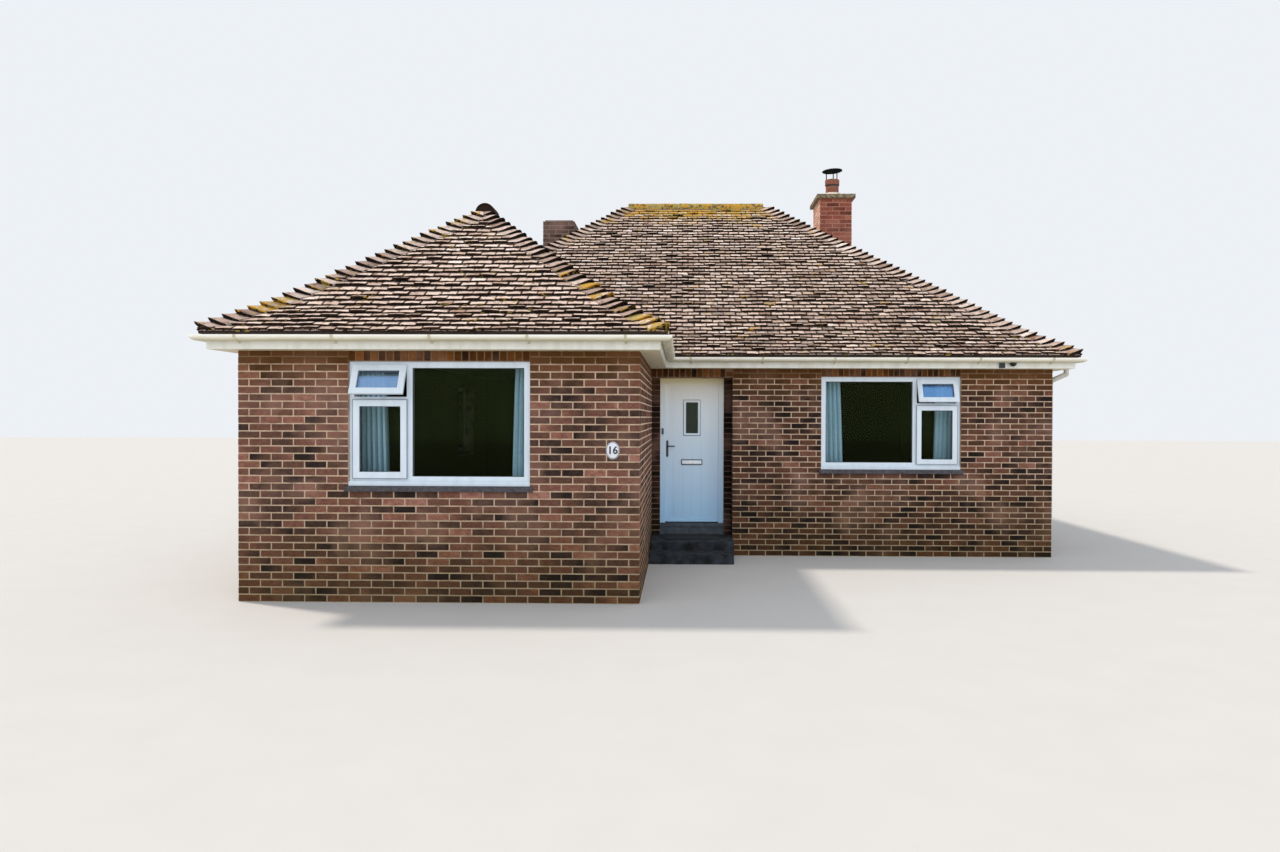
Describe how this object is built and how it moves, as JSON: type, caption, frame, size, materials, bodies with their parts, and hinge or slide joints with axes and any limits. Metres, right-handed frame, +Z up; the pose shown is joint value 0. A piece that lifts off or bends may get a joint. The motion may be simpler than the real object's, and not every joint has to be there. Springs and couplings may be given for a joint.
{
  "type": "brick bungalow",
  "caption": "Single-storey brick house with an L-shaped hipped roof of plain tiles, a front wing, a recessed front door that opens, and two chimney stacks.",
  "frame": {"origin": "middle of the plan at ground level", "axes": "+Z up, front of the house towards -Y, +X to the right seen from the front"},
  "size_m": [10.167, 10.937, 6.4339],
  "materials": {
    "brick": "rough",
    "red_brick": "rough",
    "clay_tile": "matt, lichened",
    "white_plastic": "satin",
    "cream_plastic": "satin",
    "dark_sill": "matt",
    "concrete": "rough",
    "plaster": "matt",
    "glass": "clear",
    "terracotta": "matt",
    "black_metal": "matt",
    "door_skin": "satin",
    "handle_metal": "polished",
    "rubber_mat": "ribbed",
    "plate_ceramic": "glazed",
    "lamp_plastic": "satin",
    "curtain": "woven"
  },
  "bodies": {
    "house": {"wing_front_wall": "brick", "wing_right_wall": "brick", "left_wall": "brick", "rear_wall": "brick", "right_wall": "brick", "main_front_wall": "brick", "porch_return_wall": "brick", "door_side_walls": "brick", "wall_over_door": "brick", "floor_slab": "concrete", "ceiling": "plaster", "main_roof": "clay_tile", "wing_roof": "clay_tile", "ridge_tiles": "clay_tile", "hip_tiles": "clay_tile", "soffit_boards": "cream_plastic", "fascia_boards": "white_plastic", "wing_gutter": "white_plastic", "main_gutter": "white_plastic", "rear_gutters": "white_plastic", "gutter_brackets": "white_plastic", "downpipes": "white_plastic", "right_chimney": "red_brick", "chimney_cap": "concrete", "chimney_pot": "terracotta", "chimney_cowl": "black_metal", "left_chimney": "brick", "front_window_frames": "white_plastic", "window_sashes": "white_plastic", "front_window_glass": "glass", "side_window_frames": "white_plastic", "side_window_glass": "glass", "window_sills": "dark_sill", "door_frame": "white_plastic", "door_threshold": "concrete", "frame_hinges": "white_plastic", "door_steps": "concrete", "doormat": "rubber_mat", "bell_push": "lamp_plastic", "number_plate": "plate_ceramic", "fascia_fittings": "lamp_plastic", "curtain_rails": "white_plastic", "curtains": "curtain"},
    "door": {"front_door": "door_skin", "door_pane_frames": "door_skin", "door_glass": "glass", "handle_plates": "handle_metal", "letter_plate": "handle_metal", "door_hinges": "white_plastic"},
    "levers": {"lever_handles": "handle_metal"}
  },
  "joints": [
    {"name": "front_door_hinge", "type": "hinge", "parent": "house", "child": "door", "pos_m": [0.27, -1.601, 0.408], "axis": [0, 0, -1], "range_deg": [0, 90]},
    {"name": "lever_turn", "type": "hinge", "parent": "door", "child": "levers", "pos_m": [-0.46, -1.704, 1.467], "axis": [0, 1, 0], "range_deg": [0, 40], "stiffness_Nm_per_rad": 1.5, "springref_deg": -17.19}
  ]
}
